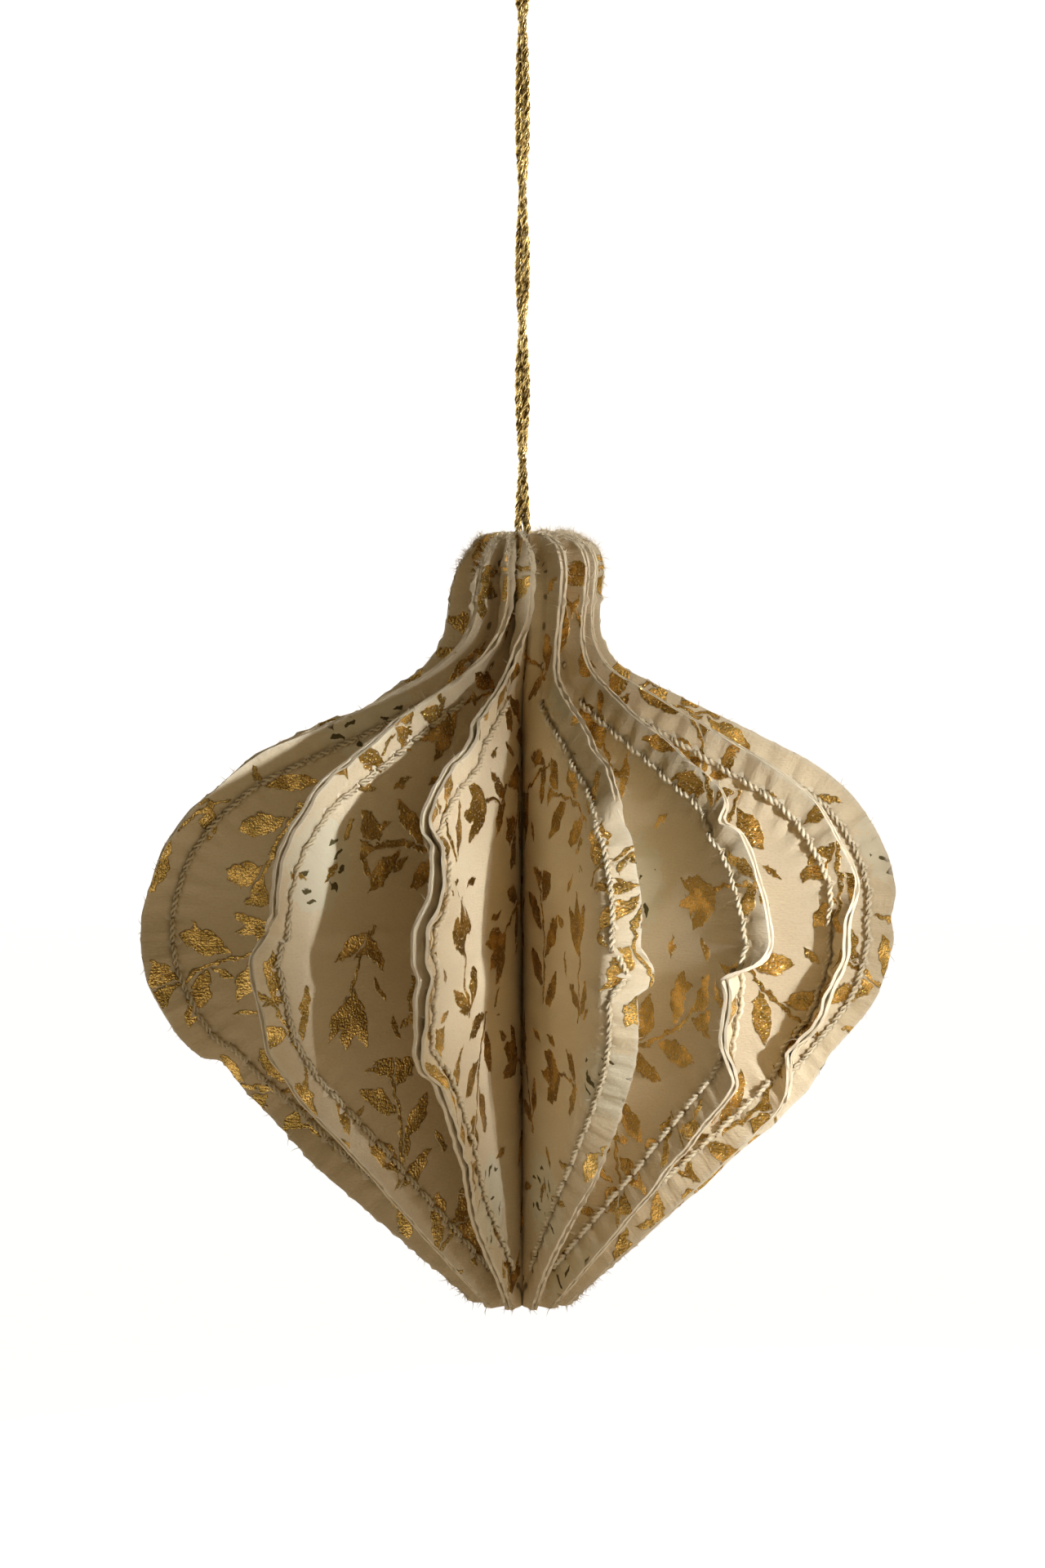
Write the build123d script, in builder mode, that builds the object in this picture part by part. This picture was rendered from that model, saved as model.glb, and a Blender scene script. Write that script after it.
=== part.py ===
# Hanging ornament of folded paper, shaped like an onion.
# Thirteen sheets are cut to the onion's full outline and folded down the middle.
# Their folds stand round a hollow core, and each half lies against a half of the next sheet,
# so two neighbouring halves make one fin, and the space inside each fold is a valley.
# A doubled cord comes out of the core and hangs the ornament by a knot that sits in there.
# Units are millimetres. The origin is the point where the loop hangs, +Z is up and the front is -Y.

import math
import os

from build123d import *

# Paper and fold
PAPER_THICKNESS = 0.4
FOLD_GAP = 0.2
FOLD_CLEARANCE = 0.05

# A wall leaves its fold along the valley, bends towards its fin and then turns back to lie on it,
# as a flange that the seam joins to the next sheet
WALL_BEND_RADIUS = 40.0
FLANGE_WIDTH = 3.7

# Outline of a half sheet: radii of its corners from the axis, and heights from corner to corner
BODY_RADIUS = 50.0
NECK_RADIUS = 10.3
TIP_RADIUS = 6.6
NECK_LENGTH = 16.5
SHOULDER_DROP = 19.5
SIDE_LENGTH = 28.5
TIP_DROP = 38.7

# Rounds of those corners, each limited to a share of the runs beside it
BELLY_ROUND = 27.0
SHOULDER_ROUND = 24.0
NECK_FLARE_ROUND = 8.0
NECK_TOP_ROUND = 5.0
ROUND_SHARES = (0.45, 0.53, 0.45, 0.5)

# Fins: degrees from the front, positive to the right. The back of the circle is shared out evenly.
FRONT_FINS = (-104, -82, -42, -15, 13, 38, 62, 88)
BACK_FIN_COUNT = 5

# Cord and knot. The legs go a quarter turn further round each other from one twist level to
# the next, and a twist level is a distance below the hanging point.
CORD_DIAMETER = 1.2
CORD_SIDES = 6
TWIST_RADIUS = 0.88
TWIST_LEVELS = (84.9, 77.3, 66.4, 58.8, 51.2, 41.4, 31.6, 15.4)
HANG_LENGTH = 86.0
HOOK_RADIUS = 3.0
LOOP_OPENING_LEVEL = 8.5
BEND_SHARE = 0.45
KNOT_DEPTH = 6.0
KNOT_LENGTH = 5.0
KNOT_CLEARANCE = 0.2
KNOT_CHAMFER = 0.7
KNOT_SIDES = 12

BODY_HEIGHT = NECK_LENGTH + SHOULDER_DROP + SIDE_LENGTH + TIP_DROP
NECK_TOP = -HANG_LENGTH
NECK_FOOT = NECK_TOP - NECK_LENGTH
SHOULDER = NECK_FOOT - SHOULDER_DROP
BELLY = SHOULDER - SIDE_LENGTH
BOTTOM = BELLY - TIP_DROP
KNOT_TOP = NECK_TOP - KNOT_DEPTH
LOOP_RADIUS = HOOK_RADIUS + CORD_DIAMETER / 2


def fin_azimuths():
    """All fins in order, with those at the back spread evenly over what is left."""
    step = (FRONT_FINS[0] + 360 - FRONT_FINS[-1]) / (BACK_FIN_COUNT + 1)
    return list(FRONT_FINS) + [FRONT_FINS[-1] + step * (i + 1) for i in range(BACK_FIN_COUNT)]


# Valleys lie between neighbouring fins, and the narrowest one sets how close the folds can stand
fins = fin_azimuths()
valleys = list(zip(fins, fins[1:] + [fins[0] + 360]))
narrowest = math.radians(min(right - left for left, right in valleys) / 2)
FOLD_INSIDE = FOLD_GAP / 2
FOLD_OUTSIDE = FOLD_INSIDE + PAPER_THICKNESS
FOLD_FLAT = FOLD_OUTSIDE * math.tan(math.radians(22.5))
FOLD_CENTRE = (FOLD_OUTSIDE + FOLD_CLEARANCE) / math.tan(narrowest) + FOLD_FLAT
CORE_RADIUS = FOLD_CENTRE - FOLD_OUTSIDE


def toward(azimuth):
    """Unit direction that points out from the axis at an azimuth."""
    angle = math.radians(azimuth)
    return Vector(math.sin(angle), -math.cos(angle), 0)


def bend_radii(points, shares):
    """Radius of the arc at each inner point of a route that uses a share of its shorter run."""
    corners = [Vector(*point) for point in points]
    radii = []
    for before, corner, after, share in zip(corners, corners[1:], corners[2:], shares):
        turn = math.radians((corner - before).get_angle(after - corner))
        shorter = min((corner - before).length, (after - corner).length)
        radii.append(share * shorter / math.tan(turn / 2))
    return radii


def half_outline():
    """Face of a half sheet in the plane of its fin, with x out from the axis and y up."""
    corners = [
        (TIP_RADIUS, BOTTOM),
        (BODY_RADIUS, BELLY),
        (BODY_RADIUS, SHOULDER),
        (NECK_RADIUS, NECK_FOOT),
        (NECK_RADIUS, NECK_TOP),
        (0, NECK_TOP),
    ]
    rounds = (BELLY_ROUND, SHOULDER_ROUND, NECK_FLARE_ROUND, NECK_TOP_ROUND)
    limits = bend_radii(corners, ROUND_SHARES)
    with BuildLine() as outline:
        rim = FilletPolyline(*corners, radius=[min(pair) for pair in zip(rounds, limits)])
        Polyline(rim @ 1, (0, BOTTOM), rim @ 0)
    make_face(outline.edges())


def wall_edge(half_angle, inward):
    """One side of a wall in section, from its fold to past the rim of the sheet.

    x runs along the valley, the fin lies at half_angle from it, and inward is the distance
    from the side of the wall that lies on the fin.
    """
    fin = math.radians(half_angle)
    fold_along = FOLD_CENTRE * math.cos(fin) + FOLD_OUTSIDE * math.sin(fin)
    fold_across = FOLD_CENTRE * math.sin(fin) - FOLD_OUTSIDE * math.cos(fin)
    along = BODY_RADIUS - FLANGE_WIDTH - fold_along - WALL_BEND_RADIUS * math.sin(fin)
    across = fold_across + WALL_BEND_RADIUS * (1 - math.cos(fin))
    past = 2 * math.atan2(across, along)
    return_radius = along / math.sin(past) - WALL_BEND_RADIUS
    start = (FOLD_CENTRE, FOLD_OUTSIDE - inward)
    bend = JernArc(start, (1, 0), WALL_BEND_RADIUS + inward, half_angle + math.degrees(past))
    back = JernArc(bend @ 1, bend % 1, return_radius - inward, -math.degrees(past))
    flange = Line(back @ 1, back @ 1 + (back % 1) * BODY_RADIUS)
    return bend @ 0, flange @ 1


def half_sheet_section(half_angle):
    """Section of a half sheet across the ornament, from the middle of its fold to past its rim."""
    with BuildLine() as section:
        fin_start, fin_end = wall_edge(half_angle, 0)
        valley_start, valley_end = wall_edge(half_angle, PAPER_THICKNESS)
        Line(fin_end, valley_end)
        Polyline(
            valley_start,
            (FOLD_CENTRE - FOLD_INSIDE, FOLD_INSIDE),
            (FOLD_CENTRE - FOLD_INSIDE, 0),
            (CORE_RADIUS, 0),
            (CORE_RADIUS, FOLD_FLAT),
            (FOLD_CENTRE - FOLD_FLAT, FOLD_OUTSIDE),
            fin_start,
        )
    make_face(section.edges())


def leg_route(side):
    """Points of one leg of the cord, from the knot up to where it meets the hook."""
    points = [(side * TWIST_RADIUS, 0, KNOT_TOP)]
    for quarter, drop in enumerate(TWIST_LEVELS):
        angle = math.radians(90 * quarter)
        across = side * TWIST_RADIUS * math.cos(angle)
        points.append((across, -side * TWIST_RADIUS * math.sin(angle), -drop))
    points.append((side * LOOP_RADIUS, 0, -LOOP_OPENING_LEVEL))
    points.append((side * LOOP_RADIUS, 0, -HOOK_RADIUS))
    return points


os.makedirs("parts", exist_ok=True)

# Folded sheets: the section stands over the whole height and is trimmed by the outline
for number, (left, right) in enumerate(valleys, start=1):
    level = Plane(origin=(0, 0, BOTTOM), x_dir=toward((left + right) / 2), z_dir=(0, 0, 1))
    fin = Plane(origin=(0, 0, 0), x_dir=toward(right), z_dir=-toward(right + 90))
    with BuildPart() as leaf:
        with BuildSketch(level):
            half_sheet_section((right - left) / 2)
        extrude(amount=BODY_HEIGHT)
        with BuildSketch(fin):
            half_outline()
        extrude(amount=BODY_RADIUS, both=True, mode=Mode.INTERSECT)
        mirror(about=Plane(origin=level.origin, x_dir=level.x_dir, z_dir=level.y_dir))
    leaf.part.label = f"paper_leaf_{number:02d}"
    export_step(leaf.part, f"parts/paper_leaf_{number:02d}.step")

# Doubled cord: up one leg, over the hook and down the other leg
right_leg = leg_route(1)
left_leg = leg_route(-1)
cord_radii = bend_radii(right_leg, [BEND_SHARE] * len(right_leg))
with BuildPart() as cord:
    with BuildLine() as route:
        rise = FilletPolyline(*right_leg, radius=cord_radii)
        fall = FilletPolyline(*left_leg, radius=cord_radii)
        ThreePointArc(rise @ 1, (0, 0, LOOP_RADIUS - HOOK_RADIUS), fall @ 1)
    with BuildSketch(Plane(origin=rise @ 0, z_dir=rise % 0)):
        RegularPolygon(CORD_DIAMETER / 2, CORD_SIDES)
    sweep()
cord.part.label = "hanging_cord"
export_step(cord.part, "parts/hanging_cord.step")
print("cord bend radii", [round(radius, 1) for radius in cord_radii])
print("cord length", round(route.wire().length, 1))
print("cord section by volume", round(cord.part.volume / route.wire().length, 3))

# Knot: the tied ends of both legs, drawn up into the core
with BuildPart() as knot:
    with BuildSketch(Plane.XY.offset(KNOT_TOP)):
        RegularPolygon(CORE_RADIUS - KNOT_CLEARANCE, KNOT_SIDES)
    extrude(amount=-KNOT_LENGTH)
    chamfer(knot.faces().filter_by(Axis.Z).edges(), KNOT_CHAMFER)
knot.part.label = "cord_knot"
export_step(knot.part, "parts/cord_knot.step")
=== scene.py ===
# %% [markdown]
# # A folded paper ornament that hangs on a gold cord
# The real thing is thirteen sheets of heavy printed paper, each folded once, sewn to each other
# along their rims and set round a hollow core like the segments of an onion. We load the packed
# solids as a fixed frame and dress every one of them: real paper has waves, puckers, foil and fluff
# that a plain solid lacks.

import math

import bpy
import numpy as np
from mathutils import Euler, Matrix


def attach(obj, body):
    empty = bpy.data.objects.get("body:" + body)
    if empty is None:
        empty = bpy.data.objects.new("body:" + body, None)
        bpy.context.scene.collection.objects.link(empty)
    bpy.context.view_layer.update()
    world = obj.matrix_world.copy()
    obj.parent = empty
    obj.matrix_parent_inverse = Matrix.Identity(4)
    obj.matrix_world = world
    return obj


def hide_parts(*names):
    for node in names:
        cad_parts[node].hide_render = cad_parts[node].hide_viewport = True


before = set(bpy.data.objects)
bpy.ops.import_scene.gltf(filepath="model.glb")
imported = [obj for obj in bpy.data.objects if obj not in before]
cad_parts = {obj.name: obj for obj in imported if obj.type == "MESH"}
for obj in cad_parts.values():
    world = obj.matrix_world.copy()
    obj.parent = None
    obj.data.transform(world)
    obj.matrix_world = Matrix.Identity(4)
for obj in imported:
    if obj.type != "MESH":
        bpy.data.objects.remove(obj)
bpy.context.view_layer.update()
MM = 0.001
print("solids in the frame:", len(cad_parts))

# %% [markdown]
# ## The camera
# The ornament was seen from the front and a little from above, from far enough away that the near
# fins are only slightly larger. A long lens does that. We aim at a point on the axis and step back
# along the line of sight, so the framing is set by three numbers: how far, how high and how tall
# the picture is at the axis.

# %% Camera at the viewing angle
CAMERA_DISTANCE = 0.7
CAMERA_RISE = math.radians(5.0)
VIEW_CENTRE = -0.1195
VIEW_HEIGHT = 0.2087

camera_data = bpy.data.cameras.new("camera")
camera_data.sensor_fit = "VERTICAL"
camera_data.sensor_height = 36.0
camera_data.lens = camera_data.sensor_height * CAMERA_DISTANCE / VIEW_HEIGHT
camera = bpy.data.objects.new("camera", camera_data)
camera.location = (
    0,
    -CAMERA_DISTANCE * math.cos(CAMERA_RISE),
    VIEW_CENTRE + CAMERA_DISTANCE * math.sin(CAMERA_RISE),
)
camera.rotation_euler = (math.pi / 2 - CAMERA_RISE, 0, 0)
bpy.context.collection.objects.link(camera)
bpy.context.scene.camera = camera
print("lens", round(camera_data.lens, 1), "mm")

# %% [markdown]
# ## Shader maths as plain expressions
# Printed paper needs a lot of small sums: where a leaf of the print starts, how worn its foil is.
# Wiring Math nodes by hand hides the idea, so one small class wraps a socket and adds the nodes as
# we write ordinary Python. Everything that isn't arithmetic goes through its one node method.

# %% The wire class
class Wire:
    """A node's output, which grows Math nodes when it is used in an expression."""

    def __init__(self, tree, socket=None):
        self.tree = tree
        self.socket = socket

    def node(self, kind, settings=None, sockets=None, output=0):
        """Adds a node: its settings first, then values or wires for its sockets."""
        made = self.tree.nodes.new(kind)
        for name, value in (settings or {}).items():
            setattr(made, name, value)
        for name, value in (sockets or {}).items():
            if isinstance(value, Wire):
                self.tree.links.new(value.socket, made.inputs[name])
            else:
                made.inputs[name].default_value = value
        return Wire(self.tree, made.outputs[output])

    def math(self, operation, *values, clamp=False):
        settings = {"operation": operation, "use_clamp": clamp}
        return self.node("ShaderNodeMath", settings, dict(enumerate(values)))

    def __add__(self, other):
        return self.math("ADD", self, other)

    def __sub__(self, other):
        return self.math("SUBTRACT", self, other)

    def __rsub__(self, other):
        return self.math("SUBTRACT", other, self)

    def __mul__(self, other):
        return self.math("MULTIPLY", self, other)

    def __truediv__(self, other):
        return self.math("DIVIDE", self, other)

    def __lt__(self, other):
        return self.math("LESS_THAN", self, other)

    def __gt__(self, other):
        return self.math("GREATER_THAN", self, other)

    def __abs__(self):
        return self.math("ABSOLUTE", self)

    __radd__ = __add__
    __rmul__ = __mul__

    def least(self, other):
        return self.math("MINIMUM", self, other)

    def most(self, other):
        return self.math("MAXIMUM", self, other)

    def floor(self):
        return self.math("FLOOR", self)

    def rest(self):
        return self.math("FRACT", self)

    def ramp(self, low, high):
        """0 up to low, 1 from high, straight between them."""
        return self.math("MULTIPLY", self - low, 1 / (high - low), clamp=True)

    def parts(self):
        """The x, y and z of a vector."""
        made = self.node("ShaderNodeSeparateXYZ", None, {0: self})
        return [Wire(self.tree, socket) for socket in made.socket.node.outputs]

    def vector(self, operation, other):
        return self.node("ShaderNodeVectorMath", {"operation": operation}, {0: self, 1: other})

    def mix(self, first, second):
        """A colour that goes from first to second as this wire goes from 0 to 1."""
        colours = {
            name: value if isinstance(value, Wire) else (*value, 1)
            for name, value in ((6, first), (7, second))
        }
        settings = {"data_type": "RGBA"}
        return self.node("ShaderNodeMix", settings, {0: self, **colours}, output=2)

    def noise(self, scale, detail=2.0, output=0):
        sockets = {"Vector": self, "Scale": scale, "Detail": detail}
        return self.node("ShaderNodeTexNoise", None, sockets, output)


def new_material(name):
    """An empty material, a wire to build it with and its surface shader."""
    material = bpy.data.materials.new(name)
    material.use_nodes = True
    tree = material.node_tree
    shader = tree.nodes["Principled BSDF"]
    return material, Wire(tree), shader


def feed(shader, **sockets):
    """Sets or links sockets of a surface shader, named with underscores for spaces."""
    for name, value in sockets.items():
        socket = shader.inputs[name.replace("_", " ")]
        if isinstance(value, Wire):
            value.tree.links.new(value.socket, socket)
        else:
            socket.default_value = value


# %% [markdown]
# ## Gold thread
# The cord and its strands are wrapped in metal foil, so the finish is a metal whose colour and polish
# change from yarn to yarn and along each yarn; its dark runs are painted shade. A UV map runs along
# the yarns for that.

# %% Gold thread finish
GOLD = (1.0, 0.76, 0.31)
GOLD_SHADE = (0.10, 0.05, 0.008)
gold_thread, wire, shader = new_material("gold_thread")
along = wire.node("ShaderNodeUVMap", {"uv_map": "yarn"})
fleck_and_shade = along.noise(3.2, 2.0).ramp(0.4, 0.62)
feed(
    shader,
    # dark runs of painted shade between bright gold
    Base_Color=fleck_and_shade.mix(GOLD_SHADE, GOLD),
    Metallic=1.0,
    Roughness=0.42 - 0.2 * fleck_and_shade,
)
print("finish:", gold_thread.name)

# %% [markdown]
# ## The cord
# One gold cord comes up out of the neck, goes over the hook that holds it and comes back down, and
# its two legs lie twisted round each other. Its line is a NURBS spline on the solid's route, with
# the legs drawn together until they touch. The cord itself is laid like the real one: three plies
# of four yarns each. A tube with a bump would look like a wire close up, so every yarn is a small
# tube that winds along points read from the spline.

# %% Route of the cord
KNOT_TOP = -92.0
TWIST_RADIUS = 0.64
TWIST_LEVELS = (84.9, 77.3, 66.4, 58.8, 51.2, 41.4, 31.6, 15.4)
LOOP_RADIUS = 3.6
LOOP_LEVELS = (-8.5, -3.0, 0.6)
CORD_STEP = 0.4

rise = [(TWIST_RADIUS, 0, KNOT_TOP)]
for quarter, drop in enumerate(TWIST_LEVELS):
    angle = quarter * math.pi / 2
    rise.append((TWIST_RADIUS * math.cos(angle), -TWIST_RADIUS * math.sin(angle), -drop))
rise += [(LOOP_RADIUS, 0, level) for level in LOOP_LEVELS]
route = rise + [(-x, -y, z) for x, y, z in reversed(rise)]


def spline_points(points, resolution):
    """Points along a smooth open spline with these control points, as an array in millimetres."""
    data = bpy.data.curves.new("route", "CURVE")
    data.dimensions = "3D"
    spline = data.splines.new("NURBS")
    spline.points.add(len(points) - 1)
    for point, place in zip(spline.points, points):
        point.co = (*(MM * value for value in place), 1)
    spline.order_u = 3
    spline.use_endpoint_u = True
    spline.resolution_u = resolution
    line = bpy.data.objects.new("route", data)
    bpy.context.collection.objects.link(line)
    drawn = bpy.data.meshes.new_from_object(line)
    places = np.empty(len(drawn.vertices) * 3)
    drawn.vertices.foreach_get("co", places)
    bpy.data.objects.remove(line)
    bpy.data.meshes.remove(drawn)
    bpy.data.curves.remove(data)
    return places.reshape(-1, 3) / MM


def lengths_along(points):
    """Distance of each point from the first one, along the line."""
    steps = np.linalg.norm(np.diff(points, axis=0), axis=1)
    return np.concatenate([[0], np.cumsum(steps)])


def evenly(points, step):
    """The same line with points at an even step."""
    lengths = lengths_along(points)
    places = np.linspace(0, lengths[-1], int(lengths[-1] / step) + 1)
    return np.stack([np.interp(places, lengths, column) for column in points.T], axis=1)


cord_line = evenly(spline_points(route, 24), CORD_STEP)

# %% Lay the yarns along a line
PLIES, YARNS = 3, 4
PLY_PITCH, YARN_PITCH = 5.4, 2.6
PLY_OFFSET, YARN_OFFSET, YARN_RADIUS = 0.325, 0.15, 0.128
YARN_SIDES = 5
FLECK_LENGTH, YARN_SHIFT = 3.0, 7.3
ANY_SIDE = (0.31, 0.95, 0.1)


def unit(vectors):
    return vectors / np.linalg.norm(vectors, axis=-1, keepdims=True)


def carried_frames(points):
    """Directions along and across a line, turned as little as possible from point to point."""
    forward = unit(np.gradient(points, axis=0))
    across = np.empty_like(forward)
    side = np.cross(forward[0], ANY_SIDE)
    for index, direction in enumerate(forward):
        side = side - direction * (side @ direction)
        side = side / np.linalg.norm(side)
        across[index] = side
    return across, np.cross(forward, across)


def mesh_object(name, points, faces, material):
    """A smooth mesh piece from points in millimetres."""
    mesh = bpy.data.meshes.new(name)
    mesh.from_pydata((np.asarray(points) * MM).tolist(), [], faces)
    mesh.shade_smooth()
    mesh.materials.append(material)
    piece = bpy.data.objects.new(name, mesh)
    bpy.context.collection.objects.link(piece)
    return piece


def set_uv(mesh, name, values):
    """A UV map from one pair of values for each vertex."""
    layer = mesh.uv_layers.new(name=name)
    corners = np.empty(len(mesh.loops), dtype=np.int32)
    mesh.loops.foreach_get("vertex_index", corners)
    layer.uv.foreach_set("vector", np.asarray(values)[corners].astype(np.float32).ravel())


def tube_faces(first, rings, sides):
    """Faces of a closed tube whose rings of points follow each other from its first point."""
    faces = []
    for step in range(rings - 1):
        for side in range(sides):
            a = first + step * sides + side
            b = first + step * sides + (side + 1) % sides
            faces.append((a, b, b + sides, a + sides))
    faces.append(tuple(first + side for side in reversed(range(sides))))
    faces.append(tuple(first + (rings - 1) * sides + side for side in range(sides)))
    return faces


def yarn_mesh(name, line):
    """A laid cord along a line: plies of yarns, each yarn a closed tube."""
    lengths = lengths_along(line)
    across, up = carried_frames(line)
    points, faces, runs = [], [], []
    for ply in range(PLIES):
        turn = 2 * math.pi * (lengths / PLY_PITCH + ply / PLIES)
        for yarn in range(YARNS):
            twist = 2 * math.pi * (lengths / YARN_PITCH + yarn / YARNS)
            sideways = PLY_OFFSET * np.cos(turn) + YARN_OFFSET * np.cos(twist)
            upward = PLY_OFFSET * np.sin(turn) + YARN_OFFSET * np.sin(twist)
            middle = line + sideways[:, None] * across + upward[:, None] * up
            first = len(points) * len(line) * YARN_SIDES
            ring = np.arange(YARN_SIDES) * 2 * math.pi / YARN_SIDES
            tube = middle[:, None] + YARN_RADIUS * (
                np.cos(ring)[None, :, None] * across[:, None] + np.sin(ring)[None, :, None] * up[:, None]
            )
            points.append(tube.reshape(-1, 3))
            run = np.repeat(lengths / FLECK_LENGTH, YARN_SIDES)
            runs.append(np.stack([run, np.full(len(run), ply + YARN_SHIFT * yarn)], axis=1))
            faces += tube_faces(first, len(line), YARN_SIDES)
    piece = mesh_object(name, np.concatenate(points), faces, gold_thread)
    set_uv(piece.data, "yarn", np.concatenate(runs))
    return piece


cord = yarn_mesh("gold_cord", cord_line)
print("cord faces", len(cord.data.polygons))

# %% [markdown]
# The two ends are tied off inside the core, under the neck, where only a look straight down would
# find them. The knot is the same laid cord, wound round itself in a short tight coil.

# %% Knot in the core
KNOT_TURNS, KNOT_STEPS = 3, 12
KNOT_COIL_RADIUS = 1.45
KNOT_GAP, KNOT_DROP = 0.6, 4.0
knot_route = [
    (
        KNOT_COIL_RADIUS * math.cos(step * 2 * math.pi / KNOT_STEPS),
        KNOT_COIL_RADIUS * math.sin(step * 2 * math.pi / KNOT_STEPS),
        KNOT_TOP - KNOT_GAP - KNOT_DROP * step / (KNOT_STEPS * KNOT_TURNS),
    )
    for step in range(KNOT_STEPS * KNOT_TURNS + 1)
]
knot = yarn_mesh("cord_end_knot", evenly(spline_points(knot_route, 6), CORD_STEP))
for piece, node in ((cord, "hanging_cord"), (knot, "cord_knot")):
    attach(piece, "root")
    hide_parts(node)
print("knot faces", len(knot.data.polygons))

# %% [markdown]
# ## The outline of a sheet
# Every sheet is cut to the same onion outline and folded down the middle. We draw the rim of one
# half as straight runs with rounded corners, from the tip at the bottom to the top of the neck, and
# measure everything else from it: how far along the rim a point lies, and how far in from it.

# %% Rim of a half sheet
RIM_CORNERS = np.array([
    (6.6, -189.2), (50.0, -150.5), (50.0, -122.0), (10.3, -102.5), (10.3, -86.0), (0.0, -86.0),
])
RIM_ROUNDS = (27.0, 24.0, 8.0, 5.0)
RIM_STEP = 0.17


def rounded_line(corners, rounds):
    """Points along straight runs whose corners are rounded by arcs."""
    points = [corners[0]]
    for before, corner, after, radius in zip(corners, corners[1:], corners[2:], rounds):
        back, on = unit(before - corner), unit(after - corner)
        half = math.acos(back @ on) / 2
        centre = corner + unit(back + on) * radius / math.sin(half)
        start = corner + back * radius / math.tan(half) - centre
        end = corner + on * radius / math.tan(half) - centre
        sweep = math.pi - 2 * half
        for share in np.linspace(0, 1, 25):
            turned = math.sin((1 - share) * sweep) * start + math.sin(share * sweep) * end
            points.append(centre + turned / math.sin(sweep))
    return np.array(points)


rim = evenly(rounded_line(RIM_CORNERS, RIM_ROUNDS), RIM_STEP)
rim_along = lengths_along(rim)
rim_forward = unit(np.gradient(rim, axis=0))
rim_inward = np.stack([-rim_forward[:, 1], rim_forward[:, 0]], axis=1)
print("rim", round(rim_along[-1], 1), "mm")

# %% [markdown]
# The sheet becomes a grid of quads. Rows run from the rim to the fold and start square to the rim,
# so that waves and stitches have faces that follow them. Columns crowd towards the rim, where the
# paper is most crumpled, and thin out on the calm wall.

# %% Grid over a half sheet
ROWS = 200
COLUMNS = 34
CROWDING = 1.7
ROW_BEND = 0.4
FOLD_RADIUS = 3.04

row_places = np.linspace(0, rim_along[-1], ROWS)
row_starts = np.stack([np.interp(row_places, rim_along, rim[:, axis]) for axis in (0, 1)], axis=1)
row_inward = np.stack([np.interp(row_places, rim_along, rim_inward[:, axis]) for axis in (0, 1)], axis=1)
row_ends = np.stack([np.full(ROWS, FOLD_RADIUS), np.linspace(rim[0, 1], rim[-1, 1], ROWS)], axis=1)
row_reach = ROW_BEND * np.linalg.norm(row_ends - row_starts, axis=1)
row_reach = row_reach * np.sin(np.linspace(0, math.pi, ROWS)) ** 0.5
row_bends = row_starts + row_inward * row_reach[:, None]
share = (np.linspace(0, 1, COLUMNS + 1) ** CROWDING)[None, :, None]
grid = (
    (1 - share) ** 2 * row_starts[:, None]
    + 2 * share * (1 - share) * row_bends[:, None]
    + share ** 2 * row_ends[:, None]
)
to_rim = np.linalg.norm(grid.reshape(-1, 1, 2) - rim[None], axis=2)
nearest = to_rim.argmin(axis=1)
grid_inset = to_rim.min(axis=1).reshape(ROWS, -1)
grid_inset[:, 0] = 0
grid_along = rim_along[nearest].reshape(ROWS, -1)
grid_along[:, 0] = row_places
print("points in a half sheet", grid_inset.size)
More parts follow.
